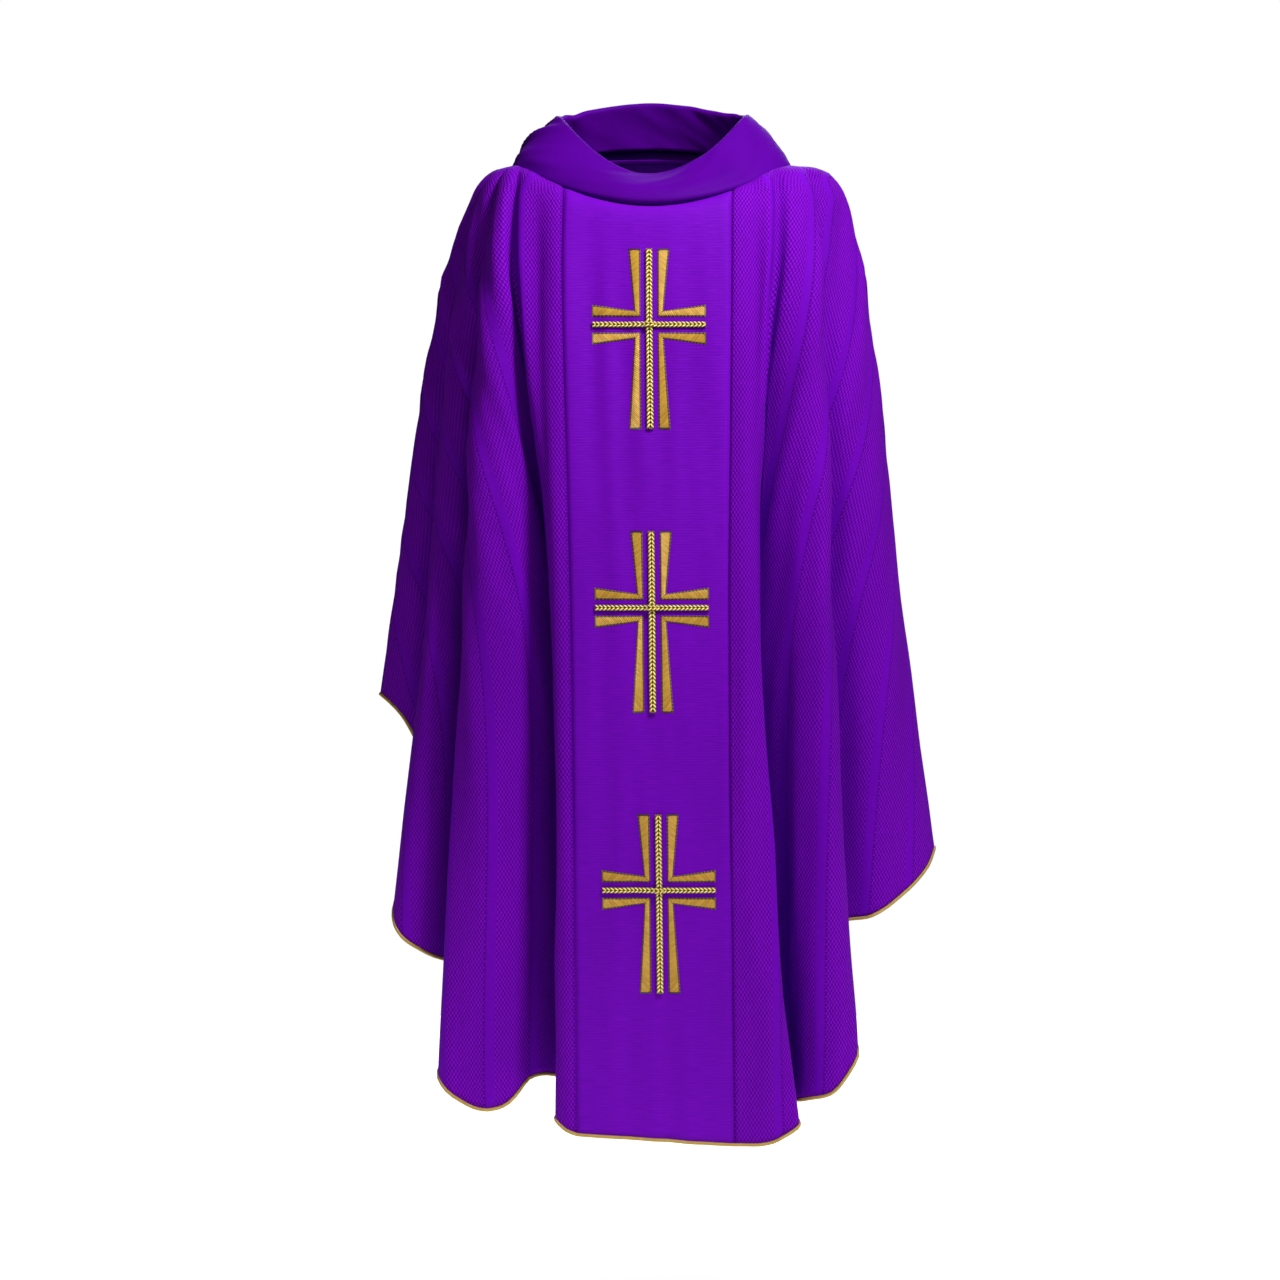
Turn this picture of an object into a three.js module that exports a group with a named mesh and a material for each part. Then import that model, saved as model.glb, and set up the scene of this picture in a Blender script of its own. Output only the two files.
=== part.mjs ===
// A semi-Gothic chasuble, hanging in folds as it is worn.
// Millimetres, +Z up; the front faces -Y and +X is the wearer's left.
// The origin is the middle of the neck opening, level with the tops of the shoulders.
import * as THREE from "three";

// Driving dimensions.
const LENGTH = 1216; // shoulders to the hem of the centre panel
const SPREAD = 700; // across the folds at the hips
const FRONT_DEPTH = 200; // from the shoulder seams forward to the front panel, at the hips
const BACK_DEPTH = 184; // and back to the back panel
const CLOTH = 2; // a layer of cloth with its interlining
const SEAM_GAP = 0.35; // clearance between pieces that are sewn together
const PANEL_TOP = 210; // width of the centre panel at the collar
const PANEL_FOOT = 195; // and from the hips down
const CHEST = -120; // height of the chest
const NECK_WIDTH = 344; // neck seam from shoulder to shoulder
const NECK_FRONT = 128; // neck seam forward of the shoulders
const NECK_BACK = 100; // and behind them
const NECK_HEIGHT = 6; // height of the neck seam on the shoulders
const NECK_DIP = 64; // how far the neck seam dips from there in front
const NECK_RISE = 20; // and rises behind
const COLLAR_WIDTH = 250; // across the collar's rolled edge
const COLLAR_FRONT = 95; // rolled edge forward of the shoulders
const COLLAR_BACK = 76; // and behind them
const COLLAR_HEIGHT = 68; // height of the rolled edge over the shoulders
const COLLAR_DIP = 85; // how far it dips from there in front
const COLLAR_RISE = 26; // and rises behind
const COLLAR_EASE = 1.9; // room between the collar's walls and its interfacing
const COLLAR_BELLY = 7; // outward swell of the collar's outer wall
const COLLAR_TUCK = 0.8; // how much of the outer wall's height the inner wall covers
const INTERFACING = 1.2; // stiffening inside the collar
const PIPING = 4.5; // diameter of the hem's piping
const PIPING_END = 4; // the piping's ends stop this short of the shoulder seams
const CROSS_WIDTH = 141; // along the horizontal cord
const CROSS_ABOVE = 94; // from the crossing up to the top of the cross
const CROSS_BELOW = 129; // and down to its foot
const CROSS_PITCH = 348; // between crossings
const FIRST_CROSS = 209; // crossing of the top cross below the shoulders
const CROSS_SHIFTS = [3, 3, 8]; // how far each is sewn from the panel's middle line
const UPRIGHT_CORD = 9; // width of the vertical pair of cords
const CROSSWISE_CORD = 7.5; // width of the horizontal pair
const CORD_HEIGHT = 4; // how far the cords stand out
const CORD_MARGIN = 6; // bare cloth between a cord and the appliques
const APPLIQUE = 1.2; // thickness of a satin-stitched applique
const ARM_ROOT = 7; // width of an applique's arm at its corner
const ARM_END = 15; // and at its end

const COLUMNS_PER_FOLD = 2;
const PANEL_COLUMNS = 6;
const COLLAR_COLUMNS = 40;
const ARM_STEPS = 4; // along each arm of an applique

// Proportions of the hanging folds.
const HIP = -0.49 * LENGTH;
const FOLDED_SPREAD = 250; // from the panel's seam to the shoulder seam in the tables below
const FOLDED_DEPTH = 200; // depth of the front panel in them
const FOLDED_LENGTH = 1216; // length of the front panel in them
const COLLAR_ROLL = (CLOTH + INTERFACING) / 2 + COLLAR_EASE; // radius of the collar's folded edge
const HEM_TWIST = 0.25; // how far the twisted edge of the hem dips, as a share of the cloth
const spreadScale = (SPREAD / 2 - PANEL_FOOT / 2) / FOLDED_SPREAD;
const lengthScale = LENGTH / FOLDED_LENGTH;

// A line crosses the shoulder part of the way from neck to chest: outward, forward and down.
// The wearer's left shoulder is a little the squarer.
const LEFT = 1;
const RIGHT = -1;
const SHOULDER_OUT = { [LEFT]: 0.64, [RIGHT]: 0.47 };
const SHOULDER_FORWARD = 0.5;
const SHOULDER_DOWN = 0.12;

// Each entry is a line down the cloth: a crest, a valley, or a point that rounds one off.
// neck is its place on the neck seam, in degrees round from the middle. chest, hip and hem are
// its distance out from the panel's seam and its distance forward of the shoulders at those
// heights, and drop is how far its hem hangs below the shoulders. The last is the shoulder seam.
const RIGHT_FOLDS = [
  { neck: 56, chest: [29, 147], hip: [13, 198], hem: [14, 209], drop: 1203 },
  { neck: 68, chest: [52, 135], hip: [22, 186], hem: [25, 198], drop: 1192 }, // crest
  { neck: 70, chest: [57, 126], hip: [17, 168], hem: [19, 181], drop: 1186 },
  { neck: 72, chest: [62, 119], hip: [16, 102], hem: [17, 104], drop: 1166 }, // valley
  { neck: 74, chest: [74, 125], hip: [40, 146], hem: [56, 140], drop: 1152 },
  { neck: 76, chest: [82, 124], hip: [80, 166], hem: [96, 162], drop: 1186 },
  { neck: 78, chest: [90, 117], hip: [118, 161], hem: [131, 166], drop: 1187 },
  { neck: 80, chest: [96, 101], hip: [140, 136], hem: [174, 150], drop: 1154 }, // crest
  { neck: 81, chest: [94, 88], hip: [136, 100], hem: [160, 106], drop: 1100 },
  { neck: 82, chest: [96, 76], hip: [126, 63], hem: [144, 62], drop: 1036 }, // valley
  { neck: 83, chest: [110, 73], hip: [156, 92], hem: [194, 104], drop: 1002 },
  { neck: 84, chest: [122, 62], hip: [181, 91], hem: [226, 101], drop: 981 },
  { neck: 85, chest: [132, 45], hip: [191, 69], hem: [239, 79], drop: 952 }, // crest
  { neck: 86, chest: [130, 24], hip: [184, 22], hem: [196, 20], drop: 800 }, // valley
  { neck: 88, chest: [142, 14], hip: [212, 26], hem: [226, 20], drop: 712 },
  { neck: 90, chest: [153, 0], hip: [243, -5], hem: [262, -5], drop: 679 },
];
const LEFT_FOLDS = [
  { neck: 54, chest: [30, 149], hip: [20, 199], hem: [48, 211], drop: 1219 },
  { neck: 64, chest: [46, 144], hip: [36, 188], hem: [81, 198], drop: 1202 }, // crest
  { neck: 67, chest: [50, 132], hip: [34, 166], hem: [77, 180], drop: 1196 },
  { neck: 70, chest: [57, 122], hip: [36, 106], hem: [71, 106], drop: 1189 }, // valley
  { neck: 72, chest: [73, 128], hip: [57, 128], hem: [85, 126], drop: 1187 },
  { neck: 74, chest: [91, 124], hip: [90, 155], hem: [99, 150], drop: 1179 },
  { neck: 77, chest: [103, 116], hip: [120, 162], hem: [127, 166], drop: 1167 },
  { neck: 80, chest: [111, 104], hip: [133, 141], hem: [155, 151], drop: 1126 }, // crest
  { neck: 82, chest: [109, 86], hip: [130, 100], hem: [144, 100], drop: 1066 },
  { neck: 83, chest: [114, 70], hip: [132, 60], hem: [142, 45], drop: 976 }, // valley
  { neck: 84, chest: [132, 60], hip: [168, 72], hem: [184, 60], drop: 962 },
  { neck: 86, chest: [152, 41], hip: [206, 58], hem: [225, 46], drop: 936 },
  { neck: 88, chest: [167, 20], hip: [228, 26], hem: [260, 20], drop: 904 },
  { neck: 90, chest: [174, 0], hip: [238, -10], hem: [272, -10], drop: 883 },
];

// The centre panel hangs a little askew: its middle line's place at the neck, chest, hips and hem.
const SWAY = { neck: -4, chest: -7, hip: -3, hem: 4 };
const PANEL_DEPTH = { chest: 150, hip: 199, hem: 212 };
const RIGHT_SEAM_DROP = 1209;
const LEFT_SEAM_DROP = 1222;

// Places along a line from neck to hem where the cloth has a row: 0.25 is the shoulder, 0.5 the
// chest, 0.75 the hips and 1 the hem.
const ROWS = [0, 0.125, 0.25, 0.375, 0.5, 0.5625, 0.625, 0.6875, 0.75, 0.8125, 0.875, 0.9375, 1];

const FRONT = { facing: -1, depthScale: FRONT_DEPTH / FOLDED_DEPTH };
const BACK = { facing: 1, depthScale: BACK_DEPTH / FOLDED_DEPTH };

const radians = THREE.MathUtils.degToRad;

// A point on the neck seam; angle runs from the middle of the face towards the side.
function neckPoint(angle, side, face) {
  const depth = face === FRONT ? NECK_FRONT : NECK_BACK;
  const rise = face === FRONT ? -NECK_DIP : NECK_RISE;
  return new THREE.Vector3(
    side * (NECK_WIDTH / 2) * Math.sin(angle),
    face.facing * depth * Math.cos(angle),
    NECK_HEIGHT + rise * Math.cos(angle) ** 2,
  );
}

// A point on the collar's rolled edge.
function collarEdge(angle, side, face) {
  const depth = face === FRONT ? COLLAR_FRONT : COLLAR_BACK;
  const rise = face === FRONT ? -COLLAR_DIP : COLLAR_RISE;
  return new THREE.Vector3(
    side * (COLLAR_WIDTH / 2) * Math.sin(angle),
    face.facing * depth * Math.cos(angle),
    COLLAR_HEIGHT + rise * Math.cos(angle) ** 2,
  );
}

// A smooth line over the shoulder and down the cloth.
function hangingLine(neck, chest, hip, hem, side) {
  const share = new THREE.Vector3(SHOULDER_OUT[side], SHOULDER_FORWARD, SHOULDER_DOWN);
  const shoulder = neck.clone().add(chest.clone().sub(neck).multiply(share));
  return new THREE.CatmullRomCurve3([neck, shoulder, chest, hip, hem]);
}

function seamX(level, side) {
  const width = level === "neck" || level === "chest" ? PANEL_TOP : PANEL_FOOT;
  return SWAY[level] + (side * width) / 2;
}

function seamLine(side, face) {
  const neck = neckPoint(Math.asin(seamX("neck", side) / (NECK_WIDTH / 2)), LEFT, face);
  const drop = side === LEFT ? LEFT_SEAM_DROP : RIGHT_SEAM_DROP;
  const at = (level, z) =>
    new THREE.Vector3(seamX(level, side), face.facing * face.depthScale * PANEL_DEPTH[level], z);
  const hem = at("hem", -drop * lengthScale);
  return hangingLine(neck, at("chest", CHEST), at("hip", HIP), hem, side);
}

function foldLine(fold, side, face) {
  const at = (level, z) =>
    new THREE.Vector3(
      seamX(level, side) + side * fold[level][0] * spreadScale,
      face.facing * face.depthScale * fold[level][1],
      z,
    );
  const neck = neckPoint(radians(fold.neck), side, face);
  const hem = at("hem", -fold.drop * lengthScale);
  return hangingLine(neck, at("chest", CHEST), at("hip", HIP), hem, side);
}

// Lines down a centre panel, between its seams: curved like the neck at the top, flat below.
function panelLines(from, to, face) {
  return Array.from({ length: PANEL_COLUMNS - 1 }, (_, i) => {
    const share = (i + 1) / PANEL_COLUMNS;
    const [, , chest, hip, hem] = from.points.map((point, level) =>
      point.clone().lerp(to.points[level], share),
    );
    const neckX = THREE.MathUtils.lerp(from.points[0].x, to.points[0].x, share);
    const neck = neckPoint(Math.asin(neckX / (NECK_WIDTH / 2)), LEFT, face);
    return hangingLine(neck, chest, hip, hem, Math.sign(neckX) || LEFT);
  });
}

// All the lines of one side, from the front seam round over the shoulder seam to the back seam.
function sideLines(folds, side) {
  const front = folds.map((fold) => foldLine(fold, side, FRONT));
  const back = folds.slice(0, -1).map((fold) => foldLine(fold, side, BACK));
  return [seamLine(side, FRONT), ...front, ...back.reverse(), seamLine(side, BACK)];
}

const leftLines = sideLines(LEFT_FOLDS, LEFT);
const rightLines = sideLines(RIGHT_FOLDS, RIGHT).reverse();
const frontLines = panelLines(rightLines.at(-1), leftLines[0], FRONT);
const backLines = panelLines(leftLines.at(-1), rightLines[0], BACK);

// One closed ring of points round the garment at one place down its lines, anticlockwise from
// the front panel's right seam.
function clothRing(place) {
  const across = (lines) => lines.map((line) => line.getPoint(place));
  const bend = (lines) =>
    new THREE.CatmullRomCurve3(across(lines)).getPoints((lines.length - 1) * COLUMNS_PER_FOLD);
  const right = bend(rightLines);
  const rightSeam = right.pop();
  return [rightSeam, ...across(frontLines), ...bend(leftLines), ...across(backLines), ...right];
}

// Outward normals of a surface given as rows of closed rings.
function ringNormals(rings) {
  return rings.map((ring, row) =>
    ring.map((_, column) => {
      const above = rings[Math.max(row - 1, 0)][column];
      const below = rings[Math.min(row + 1, rings.length - 1)][column];
      const before = ring.at(column - 1);
      const after = ring[(column + 1) % ring.length];
      const down = below.clone().sub(above);
      return down.cross(after.clone().sub(before)).normalize();
    }),
  );
}

// A surface of closed rings and its normals, cut into pieces that stop short of each other.
function ringSurface(rings) {
  const normals = ringNormals(rings);
  const size = rings[0].length;
  return (from, to, thickness) => {
    const columns = Array.from({ length: to - from + 1 }, (_, i) => (from + i) % size);
    const points = rings.map((ring) => {
      const strip = columns.map((column) => ring[column].clone());
      stepIn(strip[0], strip[1], SEAM_GAP / 2);
      stepIn(strip.at(-1), strip.at(-2), SEAM_GAP / 2);
      return strip;
    });
    return thicken(points, normals.map((row) => columns.map((column) => row[column])), thickness);
  };
}

// Moves an edge point towards its neighbour.
function stepIn(edge, neighbour, distance) {
  edge.addScaledVector(neighbour.clone().sub(edge).normalize(), distance);
}

// A closed solid of the given thickness, centred on a grid of points.
function thicken(points, normals, thickness) {
  const rows = points.length;
  const columns = points[0].length;
  const positions = [];
  for (const side of [0.5, -0.5]) {
    points.forEach((row, r) =>
      row.forEach((point, c) => {
        const moved = point.clone().addScaledVector(normals[r][c], side * thickness);
        positions.push(...moved.toArray());
      }),
    );
  }
  const outer = (r, c) => r * columns + c;
  const inner = (r, c) => rows * columns + r * columns + c;
  const faces = [];
  const quad = (a, b, c, d) => faces.push(a, b, c, a, c, d);
  for (let r = 0; r < rows - 1; r++) {
    for (let c = 0; c < columns - 1; c++) {
      quad(outer(r, c), outer(r + 1, c), outer(r + 1, c + 1), outer(r, c + 1));
      quad(inner(r, c), inner(r, c + 1), inner(r + 1, c + 1), inner(r + 1, c));
    }
    quad(outer(r, 0), inner(r, 0), inner(r + 1, 0), outer(r + 1, 0));
    const last = columns - 1;
    quad(outer(r + 1, last), inner(r + 1, last), inner(r, last), outer(r, last));
  }
  for (let c = 0; c < columns - 1; c++) {
    quad(outer(0, c + 1), inner(0, c + 1), inner(0, c), outer(0, c));
    const last = rows - 1;
    quad(outer(last, c), inner(last, c), inner(last, c + 1), outer(last, c + 1));
  }
  const geometry = new THREE.BufferGeometry();
  geometry.setAttribute("position", new THREE.Float32BufferAttribute(positions, 3));
  geometry.setIndex(faces);
  geometry.computeVertexNormals();
  return geometry;
}

const jacquard = new THREE.MeshStandardMaterial({ color: 0x6a0fb8, roughness: 0.75, metalness: 0 });
const panelCloth = new THREE.MeshStandardMaterial({ color: 0x6808b4, roughness: 0.7, metalness: 0 });
const collarCloth = new THREE.MeshStandardMaterial({ color: 0x6006ac, roughness: 0.6, metalness: 0 });
const interfacing = new THREE.MeshStandardMaterial({ color: 0xe6e0d6, roughness: 0.9, metalness: 0 });
const satinStitch = new THREE.MeshStandardMaterial({ color: 0xd4a032, roughness: 0.45, metalness: 0.2 });
const goldCord = new THREE.MeshStandardMaterial({ color: 0xe8d27a, roughness: 0.4, metalness: 0.4 });
const goldPiping = new THREE.MeshStandardMaterial({ color: 0xc8a550, roughness: 0.4, metalness: 0.3 });

const chasuble = new THREE.Group();

function add(name, geometry, material) {
  const mesh = new THREE.Mesh(geometry, material);
  mesh.name = name;
  chasuble.add(mesh);
}

// Body: a centre panel and two side panels in front, and the same behind.
const clothRings = ROWS.map(clothRing);
const leftFront = LEFT_FOLDS.length * COLUMNS_PER_FOLD;
const rightFront = RIGHT_FOLDS.length * COLUMNS_PER_FOLD;
const leftSeam = PANEL_COLUMNS;
const leftShoulder = leftSeam + leftFront;
const leftBackSeam = leftShoulder + leftFront;
const rightBackSeam = leftBackSeam + PANEL_COLUMNS;
const rightShoulder = rightBackSeam + rightFront;
const ringEnd = rightShoulder + rightFront;
const cutCloth = ringSurface(clothRings);

add("front_center_panel", cutCloth(0, leftSeam, CLOTH), panelCloth);
add("front_left_panel", cutCloth(leftSeam, leftShoulder, CLOTH), jacquard);
add("back_left_panel", cutCloth(leftShoulder, leftBackSeam, CLOTH), jacquard);
add("back_center_panel", cutCloth(leftBackSeam, rightBackSeam, CLOTH), panelCloth);
add("back_right_panel", cutCloth(rightBackSeam, rightShoulder, CLOTH), jacquard);
add("front_right_panel", cutCloth(rightShoulder, ringEnd, CLOTH), jacquard);

// Collar: a folded band, its inner wall, roll and outer wall, with stiffening between the walls.
// At one turn round it: its seam, its folded edge, and the ways up its wall and square to it.
function aroundNeck(turn) {
  const angle = turn * 2 * Math.PI;
  const face = Math.cos(angle) > 0 ? FRONT : BACK;
  const side = Math.sin(angle) > 0 ? LEFT : RIGHT;
  const fromMiddle = Math.acos(Math.min(1, Math.abs(Math.cos(angle))));
  const base = neckPoint(fromMiddle, side, face);
  base.z += CLOTH + SEAM_GAP;
  const edge = collarEdge(fromMiddle, side, face);
  const rise = edge.clone().sub(base).normalize();
  const inward = rise.clone().setZ(0).normalize().multiplyScalar(rise.z);
  inward.z = -Math.hypot(rise.x, rise.y);
  return { base, edge, rise, inward };
}

function collarSection({ base, edge, rise, inward }) {
  const section = [];
  for (const share of [COLLAR_TUCK, 0.5, 0.2]) {
    section.push(edge.clone().lerp(base, share).addScaledVector(inward, 2 * COLLAR_ROLL));
  }
  for (const turn of [0, 45, 90, 135, 180]) {
    const angle = radians(turn);
    const point = edge.clone().addScaledVector(inward, COLLAR_ROLL * (1 + Math.cos(angle)));
    section.push(point.addScaledVector(rise, COLLAR_ROLL * Math.sin(angle)));
  }
  for (const share of [0.25, 0.5, 0.75, 1]) {
    const swell = COLLAR_BELLY * Math.sin(share * Math.PI);
    section.push(edge.clone().lerp(base, share).addScaledVector(inward, -swell));
  }
  return section;
}

function interfacingSection({ base, edge, inward }) {
  return [0.06, 0.35, 0.7].map((share) =>
    edge.clone().lerp(base, share).addScaledVector(inward, COLLAR_ROLL),
  );
}

// Rings of a section carried round the neck, anticlockwise from the wearer's right.
function neckRings(section) {
  const columns = Array.from({ length: COLLAR_COLUMNS }, (_, i) =>
    section(aroundNeck(i / COLLAR_COLUMNS - 0.25)),
  );
  return columns[0].map((_, row) => columns.map((column) => column[row]));
}

const half = COLLAR_COLUMNS / 2;
const cutCollar = ringSurface(neckRings(collarSection));
const cutInterfacing = ringSurface(neckRings(interfacingSection));
add("collar_front", cutCollar(0, half, CLOTH), collarCloth);
add("collar_back", cutCollar(half, 2 * half, CLOTH), collarCloth);
add("collar_interfacing_front", cutInterfacing(0, half, INTERFACING), interfacing);
add("collar_interfacing_back", cutInterfacing(half, 2 * half, INTERFACING), interfacing);

// Piping: a round cord sewn along the hem, with one straight step for each column of the cloth.
class StepByPoint extends THREE.CatmullRomCurve3 {
  getUtoTmapping(place) {
    return place;
  }
}

function hemPiping(from, to) {
  const hem = clothRings.at(-1);
  const normals = ringNormals(clothRings).at(-1);
  const columns = Array.from({ length: to - from + 1 }, (_, i) => (from + i) % hem.length);
  const corners = columns.map((column) => {
    const before = hem[column].clone().sub(hem.at(column - 1)).normalize();
    const after = hem[(column + 1) % hem.length].clone().sub(hem[column]).normalize();
    const along = before.clone().add(after).normalize();
    const downward = along.clone().cross(normals[column]).normalize();
    return { point: hem[column], downward, mitre: along.dot(before) };
  });
  // The steps are straight, so where the hem twists the piping swings wider to clear the cloth.
  const route = corners.map(({ point, downward, mitre }, i) => {
    const neighbours = corners.slice(Math.max(i - 1, 0), i + 2);
    const twist = Math.min(...neighbours.map((corner) => corner.downward.dot(downward)));
    const clear = PIPING / 2 + SEAM_GAP + HEM_TWIST * CLOTH;
    const reach = clear / (mitre * Math.sqrt((1 + twist) / 2));
    return point.clone().addScaledVector(downward, reach);
  });
  stepIn(route[0], route[1], PIPING_END);
  stepIn(route.at(-1), route.at(-2), PIPING_END);
  const section = new THREE.Shape().absarc(0, 0, PIPING / 2, 0, 2 * Math.PI);
  return new THREE.ExtrudeGeometry(section, {
    steps: route.length - 1,
    curveSegments: 3,
    extrudePath: new StepByPoint(route),
  });
}

add("hem_piping_front", hemPiping(rightShoulder, ringEnd + leftShoulder), goldPiping);
add("hem_piping_back", hemPiping(leftShoulder, rightShoulder), goldPiping);

// Crosses: drawn flat, across to the right and upwards as one faces them, then laid on a panel.
const PANELS = {
  front: clothRings.map((ring) => ring.slice(0, leftSeam + 1)),
  back: clothRings.map((ring) => ring.slice(leftBackSeam, rightBackSeam + 1)),
};

// A place on a panel, given across and up from its middle, and the way the panel faces there.
function panelPlace(panel, across, height) {
  const middle = PANEL_COLUMNS / 2;
  const below = panel.findIndex((row) => row[middle].z < height);
  const above = panel[below - 1];
  const top = above[middle].z;
  const share = (height - top) / (panel[below][middle].z - top);
  const row = above.map((point, i) => point.clone().lerp(panel[below][i], share));
  const along = row.at(-1).clone().sub(row[0]);
  const columnWidth = along.length() / PANEL_COLUMNS;
  const place = THREE.MathUtils.clamp(middle + across / columnWidth, 0, PANEL_COLUMNS - 0.001);
  const column = Math.floor(place);
  const down = panel[below][middle].clone().sub(above[middle]);
  return {
    point: row[column].clone().lerp(row[column + 1], place - column),
    outward: down.cross(along).normalize(),
  };
}

// A point raised off the outer face of a panel.
function raise({ point, outward }, raised) {
  return point.clone().addScaledVector(outward, CLOTH / 2 + SEAM_GAP + raised);
}

// An L-shaped applique that fills one corner of the cross and flares towards its two ends.
// place is its crossing's height and shift, side is 1 or -1 across, armLength the signed reach up.
function applique(panel, place, side, armLength) {
  const up = Math.sign(armLength);
  const inX = UPRIGHT_CORD / 2 + CORD_MARGIN;
  const inY = CROSSWISE_CORD / 2 + CORD_MARGIN;
  const reach = Math.abs(armLength);
  const inner = [[inX, reach], [inX, inY], [CROSS_WIDTH / 2, inY]];
  const outer = [
    [inX + ARM_END, reach],
    [inX + ARM_ROOT, inY + ARM_ROOT],
    [CROSS_WIDTH / 2, inY + ARM_END],
  ];
  const places = [inner, outer].map((edge) => {
    const line = edge.map(([x, y]) => new THREE.Vector2(side * x, up * y));
    const steps = line.slice(1).flatMap((corner, leg) =>
      Array.from({ length: ARM_STEPS }, (_, i) => line[leg].clone().lerp(corner, i / ARM_STEPS)),
    );
    const ordered = side * up > 0 ? [...steps, line.at(-1)] : [line.at(-1), ...steps.reverse()];
    return ordered.map(({ x, y }) => panelPlace(panel, place.shift + x, place.height + y));
  });
  const points = places.map((edge) => edge.map((spot) => raise(spot, APPLIQUE / 2)));
  return thicken(points.reverse(), places.map((edge) => edge.map(({ outward }) => outward)), APPLIQUE);
}

// A pair of cords side by side, as one rounded bar.
function cordBar(width, length, steps) {
  const section = new THREE.Shape().absellipse(0, 0, width / 2, CORD_HEIGHT / 2, 0, 2 * Math.PI);
  return new THREE.ExtrudeGeometry(section, {
    steps,
    curveSegments: 3,
    depth: length,
    bevelEnabled: false,
  });
}

// Lays a bar drawn flat, across and up from the crossing, on a panel.
function layOnPanel(geometry, panel, { height, shift }) {
  const position = geometry.getAttribute("position");
  for (let i = 0; i < position.count; i++) {
    const spot = panelPlace(panel, shift + position.getX(i), height + position.getY(i));
    position.setXYZ(i, ...raise(spot, position.getZ(i)).toArray());
  }
  geometry.computeVertexNormals();
  return geometry;
}

function uprightCord() {
  return cordBar(UPRIGHT_CORD, CROSS_ABOVE + CROSS_BELOW, 8)
    .rotateX(-Math.PI / 2)
    .translate(0, -CROSS_BELOW, CORD_HEIGHT / 2);
}

// The horizontal pair climbs over the upright one where they cross.
function crosswiseCord() {
  const geometry = cordBar(CROSSWISE_CORD, CROSS_WIDTH, 18)
    .rotateZ(Math.PI / 2)
    .rotateY(Math.PI / 2)
    .translate(-CROSS_WIDTH / 2, 0, CORD_HEIGHT / 2);
  const position = geometry.getAttribute("position");
  const flat = UPRIGHT_CORD / 2 + 1;
  const ramp = CROSS_WIDTH / 18;
  for (let i = 0; i < position.count; i++) {
    const beyond = (Math.abs(position.getX(i)) - flat - ramp / 2) / ramp;
    const climb = (CORD_HEIGHT + SEAM_GAP) * (1 - THREE.MathUtils.clamp(beyond, 0, 1));
    position.setZ(i, position.getZ(i) + climb);
  }
  return geometry;
}

for (const [name, panel] of Object.entries(PANELS)) {
  CROSS_SHIFTS.forEach((shift, i) => {
    const place = { height: -FIRST_CROSS - i * CROSS_PITCH, shift };
    const addPiece = (part, geometry, material) =>
      add(`${name}_cross_${i + 1}_${part}`, geometry, material);
    const addApplique = (corner, side, armLength) =>
      addPiece(`applique_${corner}`, applique(panel, place, side, armLength), satinStitch);
    addApplique("upper_left", -1, CROSS_ABOVE);
    addApplique("upper_right", 1, CROSS_ABOVE);
    addApplique("lower_left", -1, -CROSS_BELOW);
    addApplique("lower_right", 1, -CROSS_BELOW);
    addPiece("upright_cord", layOnPanel(uprightCord(), panel, place), goldCord);
    addPiece("crosswise_cord", layOnPanel(crosswiseCord(), panel, place), goldCord);
  });
}

export default chasuble;
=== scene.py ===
"""The looks of the chasuble: cloth hanging in folds, rolled collar, embroidered crosses and hem.

Metres, +Z up; the front faces -Y and +X is the wearer's left. The folds follow the same lines as
the solid model, with more rows and columns, and the cloth's small creases are added on top.
"""
import math

import bpy
import numpy as np
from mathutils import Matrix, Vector, noise


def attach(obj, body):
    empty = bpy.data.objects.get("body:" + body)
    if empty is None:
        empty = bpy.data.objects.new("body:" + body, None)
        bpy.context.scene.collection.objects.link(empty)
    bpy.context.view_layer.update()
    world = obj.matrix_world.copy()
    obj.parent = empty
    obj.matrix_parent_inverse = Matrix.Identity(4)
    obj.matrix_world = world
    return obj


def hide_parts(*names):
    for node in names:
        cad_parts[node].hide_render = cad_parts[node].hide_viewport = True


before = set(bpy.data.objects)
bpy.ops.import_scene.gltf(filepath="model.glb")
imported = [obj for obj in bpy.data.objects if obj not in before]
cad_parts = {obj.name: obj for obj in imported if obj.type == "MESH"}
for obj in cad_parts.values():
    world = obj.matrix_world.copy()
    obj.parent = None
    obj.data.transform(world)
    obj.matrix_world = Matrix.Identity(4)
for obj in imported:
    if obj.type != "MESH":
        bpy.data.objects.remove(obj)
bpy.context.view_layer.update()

MM = 0.001

# ---------------------------------------------------------------------------------------------
# Sizes. Those in millimetres are the solid model's.

LENGTH = 1216
PANEL_TOP = 210
PANEL_FOOT = 195
CHEST = -120
HIP = -0.49 * LENGTH
NECK_WIDTH, NECK_FRONT, NECK_BACK = 344, 128, 100
NECK_HEIGHT, NECK_DIP, NECK_RISE = 6, 64, 20
COLLAR_WIDTH, COLLAR_FRONT, COLLAR_BACK = 250, 95, 76
COLLAR_HEIGHT, COLLAR_DIP, COLLAR_RISE = 68, 85, 26
COLLAR_ROLL = 3.5
COLLAR_TUCK = 0.8
CROSS_WIDTH, CROSS_ABOVE, CROSS_BELOW = 141, 94, 129
CROSS_PITCH, FIRST_CROSS = 348, 209
CROSS_SHIFTS = [3, 3, 8]  # of each cross to the wearer's left, from the top one down
UPRIGHT_CORD, CROSSWISE_CORD = 9, 7.5
CORD_MARGIN = 6
ARM_ROOT, ARM_END = 7.5, 15
PIPING = 4.5
SWAY = {"neck": -4, "chest": -7, "hip": -3, "hem": 4}
PANEL_DEPTH = {"chest": 150, "hip": 199, "hem": 212}
BACK_SCALE = 0.92  # the back's folds are this much shallower than the front's

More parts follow.
